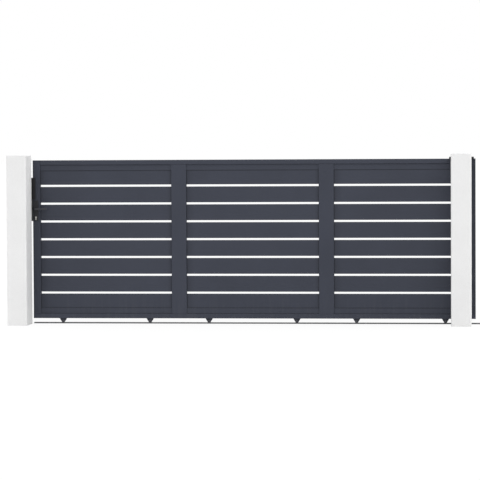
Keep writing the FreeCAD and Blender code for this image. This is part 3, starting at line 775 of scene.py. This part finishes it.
PLUG_RADIUS = 0.0056
PLUG_PROUD = 0.0006
PLUG_DROP = 0.0085
PLUG_EDGE = PLUG_PROUD * 0.4
SLOT_DEPTH = PLUG_PROUD * 0.85
SLOT_HALF_WIDTH = 0.0006
SLOT_HALF_HEIGHT = 0.0036
master = start_piece(
    bpy.ops.mesh.primitive_cylinder_add,
    vertices=40, radius=PLUG_RADIUS, depth=PLUG_PROUD, location=(0, 0, PLUG_PROUD / 2),
)
round_top_rim(PLUG_PROUD, PLUG_EDGE, 2)
SLOT_SIDES = [((1, 0, 0), SLOT_HALF_WIDTH), ((0, 1, 0), SLOT_HALF_HEIGHT)]
for across, reach in SLOT_SIDES:
    for side in (-1, 1):
        bpy.ops.mesh.select_all(action="SELECT")
        bpy.ops.mesh.bisect(plane_co=Vector(across) * reach * side, plane_no=across)
pick_faces(
    lambda middle, normal: is_top(middle, normal)
    and abs(middle.x) < SLOT_HALF_WIDTH
    and abs(middle.y) < SLOT_HALF_HEIGHT
)
push(-SLOT_DEPTH)
close_piece(master)
key_low, key_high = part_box("key_cylinder")
plug_height = key_high.z - PLUG_DROP
plug_places = [
    at(lock_x, key_low.y, plug_height, TO_STREET),
    at(lock_x, key_high.y, plug_height, TO_GARDEN),
]
dressed(copies("key_plugs", master, plug_places), satin_nickel, "leaf")

# %% [markdown]
# ## Fork bolts
# Each wheel fork hangs from a plate under the bottom rail. Two bolts beside the wheel hold the
# plate, with their heads down, so they show only from low down.

# %% Fork bolts
WHEELS = 6
FORK_PLATE_LOW = 0.046
BOLT_FROM_WHEEL = 0.0275
fork_bolt_places = []
for number in range(1, WHEELS + 1):
    wheel_low, wheel_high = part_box(f"wheel_{number}")
    wheel_x = (wheel_low.x + wheel_high.x) / 2
    for side in (-BOLT_FROM_WHEEL, BOLT_FROM_WHEEL):
        fork_bolt_places.append(at(wheel_x + side, RAIL_MIDDLE, FORK_PLATE_LOW, DOWN))
master = hexagon_bolt(radius=0.0036, height=0.003, washer_radius=0.0045, washer=0.0008)
dressed(copies("fork_bolts", master, fork_bolt_places), bright_zinc, "leaf")

# %% [markdown]
# ## Floor and light
# The object stands on a plain white floor in even studio light. A broad sun lamp from the front
# lights the leaf, one from the right gives the shapes a little relief, a weaker one lights the
# back, and the world fills the rest. For rays that reach the camera directly, the world is plain
# white, and the floor is mostly its own light and only an eighth paint, so that the background
# is white while the floor keeps a soft shadow.

# %% Floor
SEEN_RAYS = ("Is Camera Ray", "Is Glossy Ray", "Is Transmission Ray")
FLOOR_SIZE = 400
FLOOR_DROP = 0.0005
LIGHTING_PAINT = (0.8, 0.8, 0.8, 1)
SEEN_PAINT = (0.12, 0.12, 0.12, 1)
SEEN_GLOW = 0.89
WHITE = (1, 1, 1, 1)


def seen_directly(tree):
    """1 for the rays that show the background, 0 for the rays that light the object."""
    paths = tree.nodes.new("ShaderNodeLightPath")
    camera_ray, glossy_ray, transmission_ray = [
        Wire(tree, paths.outputs[name]) for name in SEEN_RAYS
    ]
    either = camera_ray.math("MAXIMUM", camera_ray, glossy_ray)
    return either.math("MAXIMUM", either, transmission_ray)


floor = start_piece(
    bpy.ops.mesh.primitive_plane_add, size=FLOOR_SIZE, location=(0, 0, -FLOOR_DROP)
)
close_piece(floor)
floor.name = "studio_floor"
floor_finish = bpy.data.materials.new("studio_floor")
floor_finish.use_nodes = True
floor_tree = floor_finish.node_tree
floor_tree.nodes.clear()
seen = seen_directly(floor_tree)
paint = seen.blend(LIGHTING_PAINT, SEEN_PAINT)
diffuse = seen.node("ShaderNodeBsdfDiffuse", {}, {"Color": paint})
glow = seen.node("ShaderNodeEmission", {}, {"Color": WHITE, "Strength": seen * SEEN_GLOW})
surface = seen.node("ShaderNodeAddShader", {}, {0: diffuse, 1: glow})
output = floor_tree.nodes.new("ShaderNodeOutputMaterial")
floor_tree.links.new(surface.socket, output.inputs["Surface"])
floor.data.materials.append(floor_finish)

# %% Lamps and world
WORLD_LIGHT = 0.51


def sun(name, strength, azimuth, elevation, softness):
    """Broad parallel light that comes from a compass angle round the gate and a height."""
    data = bpy.data.lights.new(name, "SUN")
    data.energy = strength
    data.angle = math.radians(softness)
    lamp = bpy.data.objects.new(name, data)
    bpy.context.scene.collection.objects.link(lamp)
    lamp.rotation_euler = (math.radians(90 - elevation), 0, math.radians(azimuth))


sun("front_light", 1.2, azimuth=4, elevation=40, softness=70)
sun("side_light", 1.05, azimuth=85, elevation=30, softness=50)
sun("back_light", 0.7, azimuth=205, elevation=50, softness=60)

world = bpy.data.worlds.new("studio")
bpy.context.scene.world = world
world.use_nodes = True
world_tree = world.node_tree
shown = seen_directly(world_tree)
background = world_tree.nodes["Background"]
background.inputs["Color"].default_value = WHITE
strength = shown * (1 - WORLD_LIGHT) + WORLD_LIGHT
world_tree.links.new(strength.socket, background.inputs["Strength"])
